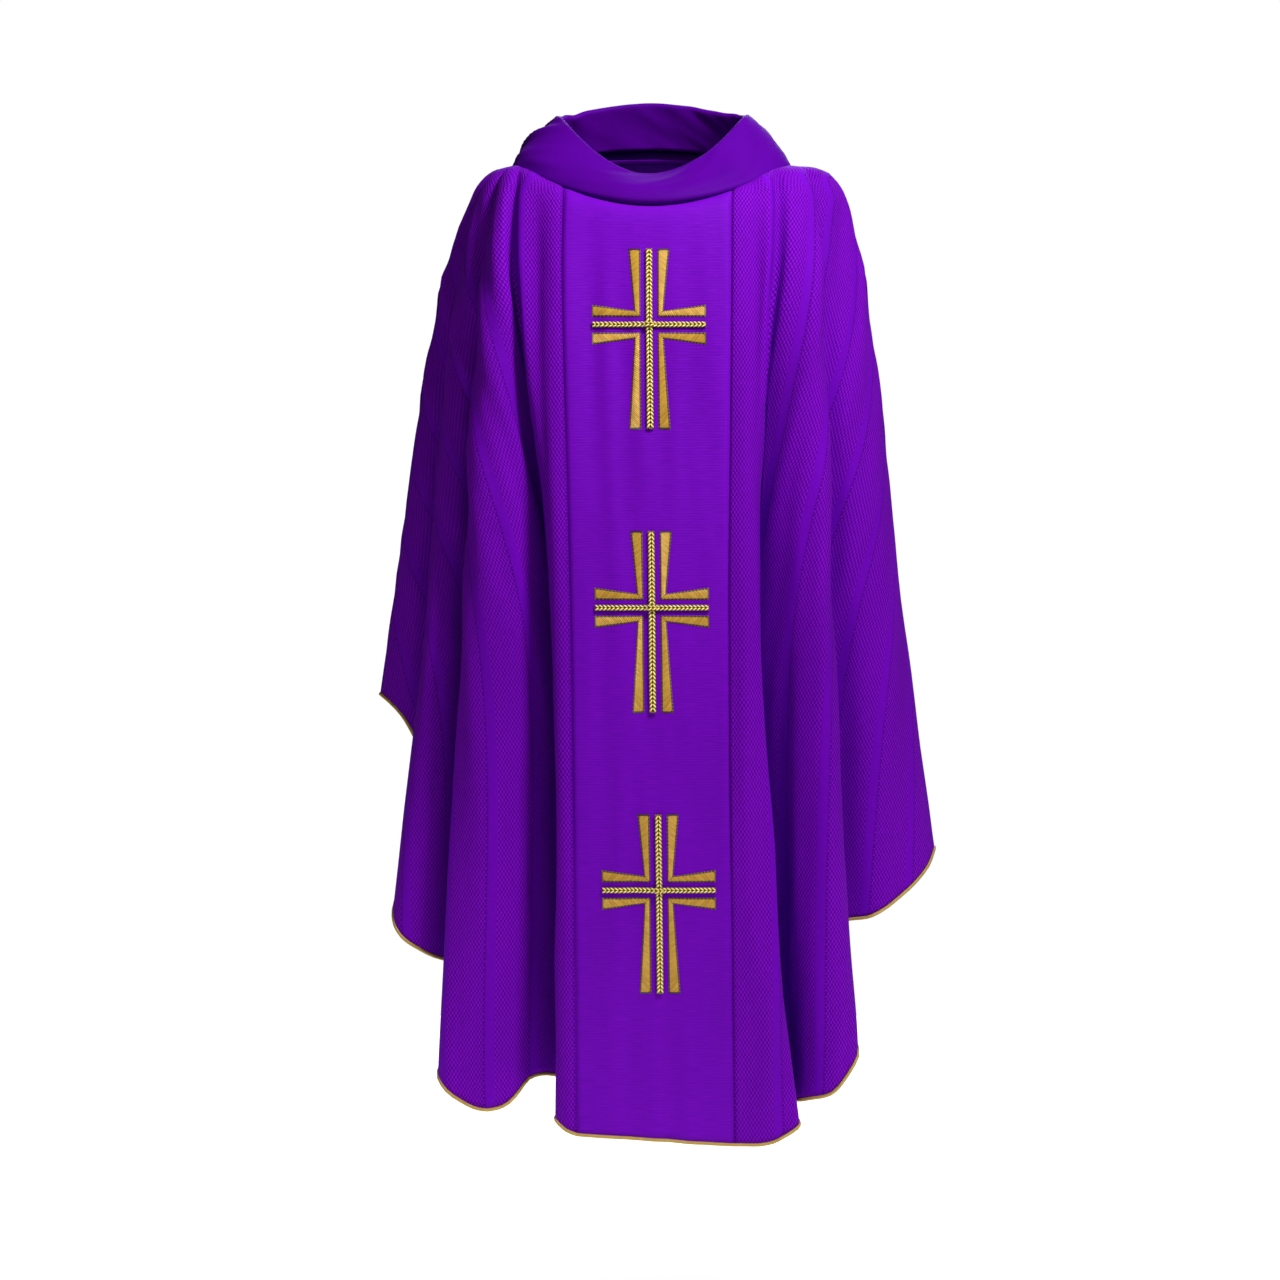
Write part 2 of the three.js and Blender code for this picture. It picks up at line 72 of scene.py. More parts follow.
CLOTH = 1.1 * MM  # thickness of the cloth as sewn
LEFT, RIGHT = 1, -1
FRONT, BACK = -1, 1
SEAM_DROP = {LEFT: 1222, RIGHT: 1209}  # of the hem, at the centre panel's seams

# Where the cloth passes over the shoulder, as shares of its way from the neck to the chest.
SHOULDER_OUT = {LEFT: 0.64, RIGHT: 0.47}
SHOULDER_FORWARD, SHOULDER_DOWN = 0.5, 0.12

# The lines of the folds from the panel's seam out to the shoulder seam: place on the neck seam in
# degrees, then distance out from the panel's seam and forward of the shoulders at chest, hip and
# hem, then the drop of the hem.
RIGHT_FOLDS = [
    (56, (29, 147), (13, 198), (14, 209), 1203),
    (68, (52, 135), (22, 186), (25, 198), 1192),
    (70, (57, 126), (17, 168), (19, 181), 1186),
    (72, (62, 119), (16, 102), (17, 104), 1166),
    (74, (74, 125), (40, 146), (56, 140), 1152),
    (76, (82, 124), (80, 166), (96, 162), 1186),
    (78, (90, 117), (118, 161), (131, 166), 1187),
    (80, (96, 101), (140, 136), (174, 150), 1154),
    (81, (94, 88), (136, 100), (160, 106), 1100),
    (82, (96, 76), (126, 63), (144, 62), 1036),
    (83, (110, 73), (156, 92), (194, 104), 1002),
    (84, (122, 62), (181, 91), (226, 101), 981),
    (85, (132, 45), (191, 69), (239, 79), 952),
    (86, (130, 24), (184, 22), (196, 20), 800),
    (88, (142, 14), (212, 26), (226, 20), 712),
    (90, (153, 0), (243, -5), (262, -5), 679),
]
LEFT_FOLDS = [
    (54, (30, 149), (20, 199), (48, 211), 1219),
    (64, (46, 144), (36, 188), (81, 198), 1202),
    (67, (50, 132), (34, 166), (77, 180), 1196),
    (70, (57, 122), (36, 106), (71, 106), 1189),
    (72, (73, 128), (57, 128), (85, 126), 1187),
    (74, (91, 124), (90, 155), (99, 150), 1179),
    (77, (103, 116), (120, 162), (127, 166), 1167),
    (80, (111, 104), (133, 141), (155, 151), 1126),
    (82, (109, 86), (130, 100), (144, 100), 1066),
    (83, (114, 70), (132, 60), (142, 45), 976),
    (84, (132, 60), (168, 72), (184, 60), 962),
    (86, (152, 41), (206, 58), (225, 46), 936),
    (88, (167, 20), (228, 26), (260, 20), 904),
    (90, (174, 0), (238, -10), (272, -10), 883),
]

# ---------------------------------------------------------------------------------------------
# Camera, light and floor.

EYE = Vector((-0.015, -3.2, -0.40))
LOOK_AT = Vector((-0.015, -0.1, -0.603))
VIEW_WIDTH = 1.626  # of the picture, at the point looked at
FLOOR = -1.45  # the vestment hangs clear of it
FLOOR_RADIUS = 1.6
AMBIENT = 0.07  # strength of the world's light on the cloth


def make_camera():
    data = bpy.data.cameras.new("camera")
    camera = bpy.data.objects.new("camera", data)
    bpy.context.scene.collection.objects.link(camera)
    away = LOOK_AT - EYE
    camera.location = EYE
    camera.rotation_euler = away.to_track_quat("-Z", "Y").to_euler()
    data.sensor_width = 36
    data.lens = data.sensor_width * away.length / VIEW_WIDTH
    bpy.context.scene.camera = camera


def add_light(name, place, size, power, aim=(0, 0, -0.5)):
    """A square soft light of the given side and power, turned towards aim."""
    data = bpy.data.lights.new(name, "AREA")
    data.size = size
    data.energy = power
    lamp = bpy.data.objects.new(name, data)
    bpy.context.scene.collection.objects.link(lamp)
    lamp.location = place
    lamp.rotation_euler = (Vector(aim) - Vector(place)).to_track_quat("-Z", "Y").to_euler()


def make_world():
    """White to the eye and dimmer as a light, so that the folds keep their shade."""
    world = bpy.data.worlds.new("studio")
    bpy.context.scene.world = world
    world.use_nodes = True
    tree = world.node_tree
    background = tree.nodes["Background"]
    background.inputs["Color"].default_value = (1, 1, 1, 1)
    seen = tree.nodes.new("ShaderNodeLightPath")
    strength = tree.nodes.new("ShaderNodeMapRange")
    strength.inputs["To Min"].default_value = AMBIENT
    strength.inputs["To Max"].default_value = 1.0
    tree.links.new(seen.outputs["Is Camera Ray"], strength.inputs["Value"])
    tree.links.new(strength.outputs["Result"], background.inputs["Strength"])


def make_floor():
    mesh = bpy.data.meshes.new("floor")
    turns = np.linspace(0, 2 * math.pi, 64, endpoint=False)
    rim = [(math.cos(turn) * FLOOR_RADIUS, math.sin(turn) * FLOOR_RADIUS, FLOOR) for turn in turns]
    mesh.from_pydata(rim, [], [tuple(range(len(rim)))])
    floor = bpy.data.objects.new("floor", mesh)
    bpy.context.scene.collection.objects.link(floor)
    white = (0.95, 0.95, 0.95, 1)
    glow = {"Emission_Color": white, "Emission_Strength": 0.9}
    mesh.materials.append(Shader("floor_paint", Base_Color=white, Roughness=0.9, **glow).material)


def make_studio():
    make_world()
    make_floor()
    add_light("key", (0.85, -1.15, 1.3), size=0.4, power=64, aim=(0, 0, -0.4))
    add_light("fill", (-0.9, -2.3, 0.8), size=1.2, power=9)
    add_light("back", (0.3, 2.2, 1.2), size=1.4, power=34)
    bpy.context.scene.view_settings.view_transform = "Standard"


# ---------------------------------------------------------------------------------------------
# Materials.


class Shader:
    """A material being built from nodes; settings are its Principled BSDF's own values."""

    def __init__(self, name, **settings):
        self.material = bpy.data.materials.new(name)
        self.material.use_nodes = True
        self.tree = self.material.node_tree
        self.principled = self.tree.nodes["Principled BSDF"]
        for socket, value in settings.items():
            self.principled.inputs[socket.replace("_", " ")].default_value = value

    def node(self, kind, inputs, **settings):
        node = self.tree.nodes.new("ShaderNode" + kind)
        for name, value in settings.items():
            setattr(node, name, value)
        for key, value in inputs.items():
            socket = node.inputs[key]
            if isinstance(value, bpy.types.NodeSocket):
                self.tree.links.new(value, socket)
            else:
                socket.default_value = value
        return node

    def math(self, operation, *values):
        """The result of a Math node."""
        return self.node("Math", dict(enumerate(values)), operation=operation).outputs[0]

    def wave(self, coordinate, pitch):
        """The cosine of a coordinate, with one peak every pitch metres."""
        return self.math("COSINE", self.math("MULTIPLY", coordinate, 2 * math.pi / pitch))

    def ramp(self, value, low, high, start=0.0, end=1.0):
        """start below low, end above high, and smooth between."""
        values = {"Value": value, "From Min": low, "From Max": high, "To Min": start, "To Max": end}
        return self.node("MapRange", values, interpolation_type="SMOOTHSTEP").outputs[0]

    def mix(self, factor, one, other):
        """A colour: one where the factor is 0 and other where it is 1."""
        inputs = {0: factor, 6: one, 7: other}
        return self.node("Mix", inputs, data_type="RGBA").outputs[2]

    def weave(self):
        """A piece's own coordinates: metres across and along its threads, and a third value."""
        attribute = self.node("Attribute", {}, attribute_name="weave")
        return self.node("SeparateXYZ", {0: attribute.outputs["Vector"]}).outputs[:3]

    def stretched_noise(self, across, along, across_scale, along_scale):
        """Noise with its own number of features to the metre each way."""
        x = self.math("MULTIPLY", across, across_scale)
        y = self.math("MULTIPLY", along, along_scale)
        place = self.node("CombineXYZ", {0: x, 1: y}).outputs[0]
        return self.node("TexNoise", {"Vector": place, "Scale": 1.0, "Detail": 3.0}).outputs[0]

    def set_color(self, color):
        self.tree.links.new(color, self.principled.inputs["Base Color"])

    def set_roughness(self, value):
        self.tree.links.new(value, self.principled.inputs["Roughness"])

    def set_bump(self, height, distance):
        bump = self.node("Bump", {"Height": height, "Distance": distance, "Strength": 1.0})
        self.tree.links.new(bump.outputs[0], self.principled.inputs["Normal"])


# The cloth's colours, and the colour of its nap where light grazes it. The deep, dim and light
# violets are also used as painted shade and painted highlight, as well as for random tone.
VIOLET = (0.138, 0.0010, 0.430, 1)
VIOLET_DEEP = (0.065, 0.0005, 0.210, 1)
VIOLET_DIM = (0.090, 0.0008, 0.285, 1)
VIOLET_LIGHT = (0.235, 0.0030, 0.600, 1)
VIOLET_SHEEN = (0.45, 0.12, 1.0, 1)


def jacquard_material():
    """Bands of staggered dimples between narrow plain stripes that run down the cloth, with painted
    shade in the dimples and stitch holes and painted highlight on the raised cells.
    """
    stripe_pitch = 61.5 * MM
    dimple_across, dimple_along = 4.4 * MM, 7.4 * MM
    hole_pitch = 4.2 * MM
    thread_pitch = 0.9 * MM
    shader = Shader(
        "violet_jacquard",
        Sheen_Weight=0.02,
        Sheen_Roughness=0.45,
        Sheen_Tint=VIOLET_SHEEN,
        Specular_IOR_Level=0.03,
    )
    across, along, _ = shader.weave()
    in_band = shader.math("FRACT", shader.math("DIVIDE", across, stripe_pitch))
    starts = shader.ramp(in_band, 0.02, 0.04)
    ends = shader.ramp(in_band, 0.80, 0.83, 1.0, 0.0)
    band = shader.math("MULTIPLY", starts, ends)
    waves = shader.wave(across, dimple_across), shader.wave(along, dimple_along)
    raised = shader.ramp(shader.math("MULTIPLY", *waves), -0.35, 0.45)
    from_border = shader.math("ABSOLUTE", shader.math("SUBTRACT", in_band, 0.025))
    border = shader.ramp(from_border, 0.012, 0.024, 1.0, 0.0)
    holes = shader.ramp(shader.wave(along, hole_pitch), -0.2, 0.4)
    stitches = shader.math("MULTIPLY", border, holes)
    textured = shader.math("MULTIPLY", band, raised)
    plain = shader.math("MULTIPLY", shader.math("SUBTRACT", 1.0, band), 0.6)
    relief = shader.math("SUBTRACT", shader.math("ADD", textured, plain), stitches)
    slub = shader.stretched_noise(across, along, 900, 130)
    cloud = shader.stretched_noise(across, along, 9, 2.5)
    # Painted shade and highlight: the dimples darker and the raised cells lighter, following the
    # relief of the bump.
    honeycomb = shader.mix(raised, VIOLET_DIM, VIOLET_LIGHT)
    color = shader.mix(band, VIOLET, honeycomb)
    # Painted shade in the stitch holes along the stripes' edges.
    color = shader.mix(shader.math("MULTIPLY", stitches, 0.8), color, VIOLET_DEEP)
    color = shader.mix(shader.ramp(slub, 0.35, 0.8, 0.0, 0.3), color, VIOLET_LIGHT)
    color = shader.mix(shader.ramp(cloud, 0.35, 0.75, 0.0, 0.3), color, VIOLET_DEEP)
    shader.set_color(color)
    shader.set_roughness(shader.ramp(relief, 0.0, 1.0, 0.8, 0.6))
    threads = shader.math("MULTIPLY", shader.wave(across, thread_pitch), 0.08)
    fine = shader.math("ADD", threads, shader.math("MULTIPLY", slub, 0.25))
    shader.set_bump(shader.math("ADD", relief, fine), 0.8 * MM)
    return shader.material


def ribbed_material():
    """A plain cloth with fine ribs across it, for the centre panels."""
    shader = Shader(
        "violet_rib",
        Sheen_Weight=0.02,
        Sheen_Roughness=0.4,
        Sheen_Tint=VIOLET_SHEEN,
        Specular_IOR_Level=0.04,
    )
    across, along, _ = shader.weave()
    rib = shader.wave(along, 1.9 * MM)
    slub = shader.stretched_noise(across, along, 45, 900)
    cloud = shader.stretched_noise(across, along, 7, 3)
    color = shader.mix(shader.ramp(slub, 0.3, 0.75, 0.0, 0.4), VIOLET, VIOLET_LIGHT)
    # Painted shade in the grooves between the ribs.
    color = shader.mix(shader.ramp(rib, -1.0, 0.2, 0.22, 0.0), color, VIOLET_DEEP)
    color = shader.mix(shader.ramp(cloud, 0.35, 0.8, 0.0, 0.2), color, VIOLET_DEEP)
    shader.set_color(color)
    shader.set_roughness(shader.ramp(slub, 0.3, 0.8, 0.66, 0.52))
    height = shader.math("ADD", shader.math("MULTIPLY", rib, 0.3), slub)
    shader.set_bump(height, 0.22 * MM)
    return shader.material


def satin_material():
    """The collar's smooth cloth, closer woven and glossier than the rest, coloured mostly in the
    deep violet as painted shade.
    """
    shader = Shader(
        "violet_satin_painted_shade",
        Sheen_Weight=0.02,
        Sheen_Roughness=0.3,
        Sheen_Tint=VIOLET_SHEEN,
        Specular_IOR_Level=0.015,
    )
    across, along, _ = shader.weave()
    slub = shader.stretched_noise(across, along, 300, 1200)
    cloud = shader.stretched_noise(across, along, 12, 16)
    # Painted shade with random tone: the noise moves the colour 0.6 to 1 of the way to the deep
    # violet, so the whole collar looks shaded.
    color = shader.mix(shader.ramp(cloud, 0.3, 0.75, 0.6, 1.0), VIOLET_DIM, VIOLET_DEEP)
    color = shader.mix(shader.ramp(slub, 0.4, 0.8, 0.0, 0.15), color, VIOLET)
    shader.set_color(color)
    shader.set_roughness(shader.ramp(slub, 0.3, 0.8, 0.6, 0.5))
    shader.set_bump(slub, 0.12 * MM)
    return shader.material


def interfacing_material():
    """Coarse undyed canvas."""
    dark, light = (0.70, 0.66, 0.6, 1), (0.85, 0.82, 0.76, 1)
    thread_pitch = 1.2 * MM
    shader = Shader("interfacing", Roughness=0.9)
    across, along, _ = shader.weave()
    waves = shader.wave(across, thread_pitch), shader.wave(along, thread_pitch)
    weave = shader.math("MULTIPLY", *waves)
    # Painted shade where the weave sinks, painted highlight where it rises.
    shader.set_color(shader.mix(shader.ramp(weave, -1, 1), dark, light))
    shader.set_bump(weave, 0.2 * MM)
    return shader.material


def stitched_material():
    """Satin stitch: slanting gold threads that meet in a mitre, with a dark running stitch outside.

    Its weave is metres along the L from its corner, metres across it, and metres in from the edge.
    """
    gold, deep, light = (0.50, 0.255, 0.020, 1), (0.22, 0.10, 0.010, 1), (0.74, 0.42, 0.050, 1)
    outline = (0.045, 0.022, 0.006, 1)
    shader = Shader("gold_satin_stitch", Specular_IOR_Level=0.4, Metallic=0.1)
    along, across, inside = shader.weave()
    turned = shader.math("MULTIPLY", shader.math("SIGN", along), across)
    slanted = shader.math("ADD", along, turned)
    thread = shader.wave(slanted, 2.6 * MM)
    tone = shader.stretched_noise(slanted, across, 420, 60)
    color = shader.mix(shader.ramp(tone, 0.3, 0.7), gold, light)
    # Painted shade between the threads.
    color = shader.mix(shader.ramp(thread, -1.0, 0.0, 0.5, 0.0), color, deep)
    from_mitre = shader.math("ABSOLUTE", along)
    color = shader.mix(shader.ramp(from_mitre, 0.3 * MM, 1.1 * MM, 0.8, 0.0), color, deep)
    edge = shader.ramp(inside, 1.6 * MM, 2.4 * MM, 1.0, 0.0)
    dashes = shader.ramp(shader.wave(along, 4.4 * MM), -0.8, 0.0, 0.6, 1.0)
    color = shader.mix(shader.math("MULTIPLY", edge, dashes), color, outline)
    shader.set_color(color)
    shader.set_roughness(shader.ramp(tone, 0.2, 0.8, 0.55, 0.4))
    shader.set_bump(shader.math("ADD", thread, tone), 0.25 * MM)
    return shader.material


def cord_material():
    """Pale gold strands with painted shade in their grooves, darker the lower a point lies; the
    weave's third value is the height, 0 to 1.
    """
    dark, gold, light = (0.14, 0.070, 0.006, 1), (1.0, 0.70, 0.10, 1), (1.0, 0.90, 0.30, 1)
    shader = Shader("gold_cord", Metallic=0.1, Specular_IOR_Level=0.5)
    along, around, height = shader.weave()
    tone = shader.stretched_noise(along, around, 500, 300)
    lit = shader.mix(shader.ramp(tone, 0.3, 0.7), gold, light)
    # Painted shade: the colour turns dark where the strands sink towards the cloth and between each
    # other.
    shader.set_color(shader.mix(shader.ramp(height, 0.69, 0.92), dark, lit))
    shader.set_roughness(shader.ramp(tone, 0.2, 0.8, 0.5, 0.32))
    shader.set_bump(shader.wave(along, 0.8 * MM), 0.06 * MM)
    return shader.material


def piping_material():
    """Gold satin cut on the slant and wrapped round a cord; its weave is metres along and round."""
    dark, light = (0.30, 0.17, 0.02, 1), (0.62, 0.40, 0.08, 1)
    shader = Shader("gold_piping", Metallic=0.15, Specular_IOR_Level=0.45)
    along, around, _ = shader.weave()
    strand = shader.wave(shader.math("ADD", along, around), 2.2 * MM)
    tone = shader.stretched_noise(along, around, 120, 300)
    # Painted shade in the grooves between the slanting strands, painted highlight on their crests.
    color = shader.mix(shader.ramp(strand, -1.0, 0.4), dark, light)
    shader.set_color(shader.mix(shader.ramp(tone, 0.35, 0.75, 0.0, 0.5), color, dark))
    shader.set_roughness(shader.ramp(tone, 0.2, 0.8, 0.5, 0.35))
    shader.set_bump(strand, 0.12 * MM)
    return shader.material


# ---------------------------------------------------------------------------------------------
# Curves and surfaces.


def spline(points, places):
    """Points on the centripetal Catmull-Rom curve through points, at places counted in points."""
    first = 2 * points[:1] - points[1:2]
    last = 2 * points[-1:] - points[-2:-1]
    knots = np.concatenate([first, points, last])
    start = np.clip(np.floor(places).astype(int), 0, len(points) - 2)
    share = (np.asarray(places) - start).reshape(-1, *[1] * (points.ndim - 1))
    p0, p1, p2, p3 = (knots[start + i] for i in range(4))
    d0, d1, d2 = (
        np.sqrt(np.linalg.norm(b - a, axis=-1, keepdims=True)) + 1e-9
        for a, b in ((p0, p1), (p1, p2), (p2, p3))
    )
    leave = ((p1 - p0) / d0 - (p2 - p0) / (d0 + d1) + (p2 - p1) / d1) * d1
    arrive = ((p2 - p1) / d1 - (p3 - p1) / (d1 + d2) + (p3 - p2) / d2) * d1
    bend = 3 * (p2 - p1) - 2 * leave - arrive
    twist = 2 * (p1 - p2) + leave + arrive
    return p1 + share * (leave + share * (bend + share * twist))


def unit(vectors):
    return vectors / (np.linalg.norm(vectors, axis=-1, keepdims=True) + 1e-12)


def normals_of(grid):
    """Outward unit normals of a grid whose rows go down and whose columns go anticlockwise."""
    return unit(np.cross(np.gradient(grid, axis=0), np.gradient(grid, axis=1)))


def run_along(points, axis=0):
    """How far each point of a line or a grid lies along it from the first."""
    steps = np.diff(points, axis=axis, prepend=points.take([0], axis))
    return np.cumsum(np.linalg.norm(steps, axis=-1), axis=axis)


def grid_faces(rows, columns, closed=False):
    """The quads of a grid; closed joins the last column to the first."""
    row, column = np.mgrid[0 : rows - 1, 0 : columns if closed else columns - 1]
    after = (column + 1) % columns
    corners = [(row, column), (row + 1, column), (row + 1, after), (row, after)]
    return np.stack([(r * columns + c).ravel() for r, c in corners], axis=1)


def add_piece(name, vertices, faces, weave, material):
    """A piece of the vestment, which rides on its one body and stands for the CAD node name."""
    mesh = bpy.data.meshes.new(f"{name}_sewn")
    mesh.from_pydata(np.asarray(vertices).reshape(-1, 3).tolist(), [], [tuple(f) for f in faces])
    mesh.update()
    mesh.shade_smooth()
    layer = mesh.attributes.new("weave", "FLOAT_VECTOR", "POINT")
    layer.data.foreach_set("vector", np.asarray(weave, np.float32).reshape(-1, 3).ravel())
    piece = bpy.data.objects.new(f"{name}_sewn", mesh)
    bpy.context.scene.collection.objects.link(piece)
    mesh.materials.append(material)
    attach(piece, "root")
    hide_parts(name)
    return piece


def with_third(across, along):
    """Two coordinates with a third of 0."""
    return np.stack([across, along, np.zeros_like(across)], axis=-1)


def add_cloth(name, cloth, across, along, material, thickness=CLOTH):
    """A piece of cloth through a grid of points, half its thickness on either side of them."""
    faces = grid_faces(*cloth.shape[:2])
    piece = add_piece(name, cloth, faces, with_third(across, along), material)
    solidify = piece.modifiers.new("thickness", "SOLIDIFY")
    solidify.thickness = thickness
    solidify.offset = 0
    return piece


# ---------------------------------------------------------------------------------------------
# The body of the vestment.

ROW_COUNTS = [8, 12, 56, 72]  # from neck to shoulder, on to the chest, the hip and the hem
PANEL_COLUMNS = 30
FOLD_COLUMNS = 6  # between one line of the folds and the next
LEVELS = 240  # heights at which the cloth is measured across

# How far each kind of crease pushes the cloth, in millimetres.
LONG_FOLD, RIDGE, FINE_RIPPLE, DENT = 7, 7.5, 2.8, 1.2
PANEL_CREASING = 0.45  # share of it on the centre panels, which hang flatter


def neck_point(angle, facing):
    """On the neck seam; angle is from the middle of the face, positive to the wearer's left."""
    depth = NECK_FRONT if facing == FRONT else NECK_BACK
    rise = -NECK_DIP if facing == FRONT else NECK_RISE
    return np.array([
        NECK_WIDTH / 2 * math.sin(angle),
        facing * depth * math.cos(angle),
        NECK_HEIGHT + rise * math.cos(angle) ** 2,
    ])


def hanging_line(neck, chest, hip, hem, side):
    """The points of a line down the cloth, with one on the shoulder between neck and chest."""
    share = np.array([SHOULDER_OUT[side], SHOULDER_FORWARD, SHOULDER_DOWN])
    return np.array([neck, neck + (chest - neck) * share, chest, hip, hem])


def seam_x(level, side):
    width = PANEL_TOP if level in ("neck", "chest") else PANEL_FOOT
    return SWAY[level] + side * width / 2


def depth_of(forward, facing):
    """The y of a point of the front's folds, or of the same point behind."""
    return facing * forward * (1 if facing == FRONT else BACK_SCALE)


def seam_line(side, facing):
    heights = {"chest": CHEST, "hip": HIP, "hem": -SEAM_DROP[side]}
    neck = neck_point(math.asin(seam_x("neck", side) / (NECK_WIDTH / 2)), facing)
    points = [
        np.array([seam_x(level, side), depth_of(PANEL_DEPTH[level], facing), height])
        for level, height in heights.items()
    ]
    return hanging_line(neck, *points, side)


def fold_line(fold, side, facing):
    angle, chest, hip, hem, drop = fold
    places = {"chest": (chest, CHEST), "hip": (hip, HIP), "hem": (hem, -drop)}
    points = [
        np.array([seam_x(level, side) + side * out, depth_of(forward, facing), height])
        for level, ((out, forward), height) in places.items()
    ]
    return hanging_line(neck_point(side * math.radians(angle), facing), *points, side)


def side_lines(folds, side):
    """The lines of one side, from the front seam over the shoulder seam to the back seam."""
    front = [fold_line(fold, side, FRONT) for fold in folds]
    back = [fold_line(fold, side, BACK) for fold in folds[:-1]]
    return np.array([seam_line(side, FRONT), *front, *back[::-1], seam_line(side, BACK)])


def panel_lines(start, end, facing):
    """Lines down a centre panel: curved like the neck at the top, straight across below it."""
    lines = []
    for share in np.linspace(0, 1, PANEL_COLUMNS + 1):
        line = start + (end - start) * share
        neck = neck_point(math.asin(line[0][0] / (NECK_WIDTH / 2)), facing)
        side = LEFT if line[0][0] >= 0 else RIGHT
        lines.append(hanging_line(neck, *line[2:], side))
    return np.array(lines)


def row_places():
    """Where the rows lie along a line, counted in its points."""
    parts = [np.linspace(i, i + 1, count, endpoint=False) for i, count in enumerate(ROW_COUNTS)]
    return np.append(np.concatenate(parts), len(ROW_COUNTS))


def folded_grid(lines):
    """Rows down the lines, columns across them, in metres."""
    rows = spline(lines.transpose(1, 0, 2), row_places())
    places = np.linspace(0, len(lines) - 1, (len(lines) - 1) * FOLD_COLUMNS + 1)
    return spline(rows.transpose(1, 0, 2), places).transpose(1, 0, 2) * MM


def flat_grid(lines):
    """Rows down the lines and one column for each line, in metres."""
    return spline(lines.transpose(1, 0, 2), row_places()) * MM


def across_threads(grid, from_start):
    """How far each point lies across the cloth from its seam, measured level round the folds."""
    heights = np.linspace(grid[..., 2].max(), grid[..., 2].min(), LEVELS)
    level = np.stack([
        np.stack([np.interp(-heights, -line[:, 2], line[:, axis]) for axis in (0, 1)], axis=-1)
        for line in grid.transpose(1, 0, 2)
    ])
    reach = run_along(level)
    if not from_start:
        reach = reach[-1] - reach
    columns = grid[..., 2].T
    return np.stack([np.interp(-z, -heights, reach[i]) for i, z in enumerate(columns)], axis=1)


def along_threads(grid):
    """How far each point lies down the cloth: over the shoulder, then straight down."""
    path = run_along(grid)
    chest_row = ROW_COUNTS[0] + ROW_COUNTS[1]
    over = path - path[chest_row] - CHEST * MM
    return np.where(np.arange(len(grid))[:, None] <= chest_row, over, -grid[..., 2])


def drape_noise(flat, width, stretch, seed):
    """Noise with features about width metres across the cloth and width / stretch down it."""
    shift = Vector((seed * 7.3, seed * 3.1, seed * 5.7))
    places = flat * (1, stretch, 1) / width
    return np.array([noise.noise(Vector(place) + shift) for place in places])


def crease(grid, across, along, strength):
    """Pushes the cloth in and out: long soft folds down the drape and finer ripples between."""
    flat = with_third(across, along).reshape(-1, 3)
    long_folds = drape_noise(flat, 34 * MM, 0.06, seed=1)
    ridges = 0.5 - 2 * np.abs(drape_noise(flat, 50 * MM, 0.09, seed=8))
    fine_ripples = drape_noise(flat, 18 * MM, 0.13, seed=2)
    dents = drape_noise(flat, 120 * MM, 0.35, seed=3)
    push = LONG_FOLD * long_folds + RIDGE * ridges + FINE_RIPPLE * fine_ripples + DENT * dents
    return grid + normals_of(grid) * (push.reshape(across.shape) * MM * strength)[..., None]


def seam_dip(grid, across, width, depth):
    """Sinks the cloth where it is sewn, over a few millimetres from across = 0."""
    sink = depth * np.exp(-((across / width) ** 2))
    return grid - normals_of(grid) * sink[..., None]


def settle(across, along):
    """Fades the creases in below the neck and away from the seam, and out towards the sleeve."""
    from_neck = np.clip((along - along[:1]) / (160 * MM), 0, 1)
    from_seam = np.clip(across / (30 * MM), 0.25, 1)
    from_sleeve = np.clip(1.7 - across / (250 * MM), 0.12, 1)
    return from_neck * from_seam * from_sleeve


def build_side(folds, side, names, material):
    """The front and back panels of one side, each with its finished surface."""
    grid = folded_grid(side_lines(folds, side))
    middle = len(folds) * FOLD_COLUMNS
    pieces = []
    for name, part, at_start in (
        (names[0], slice(0, middle + 1), True),
        (names[1], slice(middle, None), False),
    ):
        cloth = grid[:, part] if side == LEFT else grid[:, part][:, ::-1]
        from_start = at_start == (side == LEFT)
        across = across_threads(cloth, from_start)
        along = along_threads(cloth)
        cloth = crease(cloth, across, along, settle(across, along))
        cloth = seam_dip(cloth, across, width=3.5 * MM, depth=1.3 * MM)
        piece = add_cloth(name, cloth, across, along, material)
        pieces.append((piece, cloth))
    return pieces


def build_panel(name, facing, material):
    """A centre panel and its finished surface."""
    seams = [seam_line(RIGHT, facing), seam_line(LEFT, facing)]
    start, end = seams if facing == FRONT else reversed(seams)
    cloth = flat_grid(panel_lines(start, end, facing))
    across = run_along(cloth, axis=1)
    along = along_threads(cloth)
    edge = np.minimum(across, across[:, -1:] - across)
    from_edge = np.clip(edge / (40 * MM), 0, 1)
    from_neck = np.clip((along - along[:1]) / (200 * MM), 0, 1)
    cloth = crease(cloth, across, along, from_edge * from_neck * PANEL_CREASING)
    cloth = seam_dip(cloth, edge, width=3 * MM, depth=1.1 * MM)
    return add_cloth(name, cloth, across, along, material), cloth


# ---------------------------------------------------------------------------------------------
# The collar: a band of cloth that rises from the neck seam, rolls over and goes down inside.

COLLAR_COLUMNS = 220
INNER_ROWS, OUTER_ROWS = 14, 30
ROLL_STEPS = 8
INTERFACING = 0.6 * MM  # thickness
INTERFACING_ROWS = 12
INTERFACING_TOP, INTERFACING_FOOT = 0.06, 0.7  # shares of the way down from the rolled edge
CANVAS_ACROSS, CANVAS_DOWN = 5 * MM, 4 * MM  # of its weave, from one point to the next


